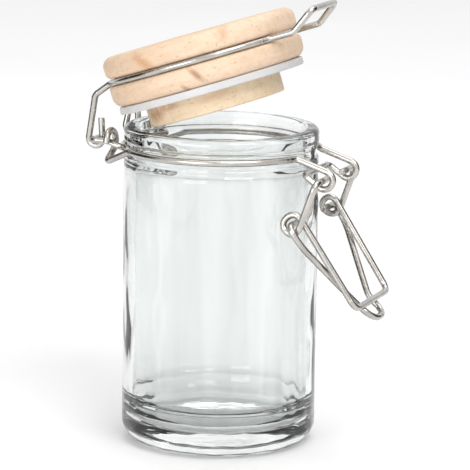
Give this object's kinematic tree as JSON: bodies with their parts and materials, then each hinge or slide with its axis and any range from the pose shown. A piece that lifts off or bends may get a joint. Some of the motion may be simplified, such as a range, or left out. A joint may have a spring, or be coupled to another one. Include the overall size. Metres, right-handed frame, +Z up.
{
  "type": "bail clamp jar",
  "caption": "Small glass storage jar with a turned wooden lid, a silicone seal, a wire hinge behind and a wire clamp in front.",
  "frame": {"origin": "centre of the base, on the surface that the jar stands on", "axes": "+Z up along the jar, -Y towards the clamp, +Y towards the hinge, +X across"},
  "size_m": [0.058, 0.0864, 0.1285],
  "materials": {
    "glass": "gloss",
    "steel": "polished",
    "lid_wood": "matte",
    "silicone": "satin",
    "plug_wood": "matte"
  },
  "bodies": {
    "jar_body": {"jar": "glass", "neck_ring": "steel", "hinge_yoke": "steel"},
    "lid": {"lid_cap": "lid_wood", "gasket": "silicone", "lid_plug": "plug_wood", "lid_bail": "steel"},
    "lever": {"clamp_lever": "steel"},
    "loop": {"clamp_loop": "steel"}
  },
  "joints": [
    {"name": "lid_hinge", "type": "hinge", "parent": "jar_body", "child": "lid", "pos_m": [0, 0.0336, 0.0871], "axis": [-1, 0, 0], "range_deg": [-17.9, 140]},
    {"name": "lever_hinge", "type": "hinge", "parent": "jar_body", "child": "lever", "pos_m": [0, -0.0349, 0.0799], "axis": [-1, 0, 0], "range_deg": [0, 120]},
    {"name": "loop_hinge", "type": "hinge", "parent": "lever", "child": "loop", "pos_m": [0, -0.02791, 0.06777], "axis": [-1, 0, 0], "range_deg": [-24, 0]}
  ]
}
